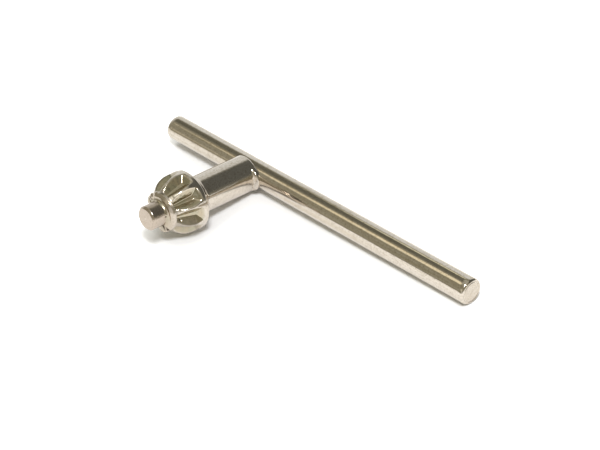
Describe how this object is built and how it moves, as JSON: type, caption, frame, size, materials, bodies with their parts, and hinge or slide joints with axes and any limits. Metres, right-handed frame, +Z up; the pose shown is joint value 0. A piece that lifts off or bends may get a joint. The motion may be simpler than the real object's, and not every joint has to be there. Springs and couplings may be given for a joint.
{
  "type": "drill chuck key",
  "caption": "Hand key for a geared drill chuck: a pilot pin with a bevel pinion on a short shank, welded square to a round handle bar that is longer on one side.",
  "frame": {"origin": "on the floor, under the middle of the key's bounding box", "axes": "+X along the handle bar towards its longer end, -Y the way the pilot points, +Z up; the key lies as it comes to rest, on the collar's rear rim, the shank's bevelled end and the bar's longer end"},
  "size_m": [0.1312, 0.0468, 0.0192],
  "materials": {
    "plated_body": "bright nickel plate over forged steel, slightly uneven",
    "plated_bar": "bright nickel plate over drawn steel rod"
  },
  "bodies": {
    "root": {"toothed_body": "plated_body", "handle_bar": "plated_bar"}
  },
  "joints": []
}
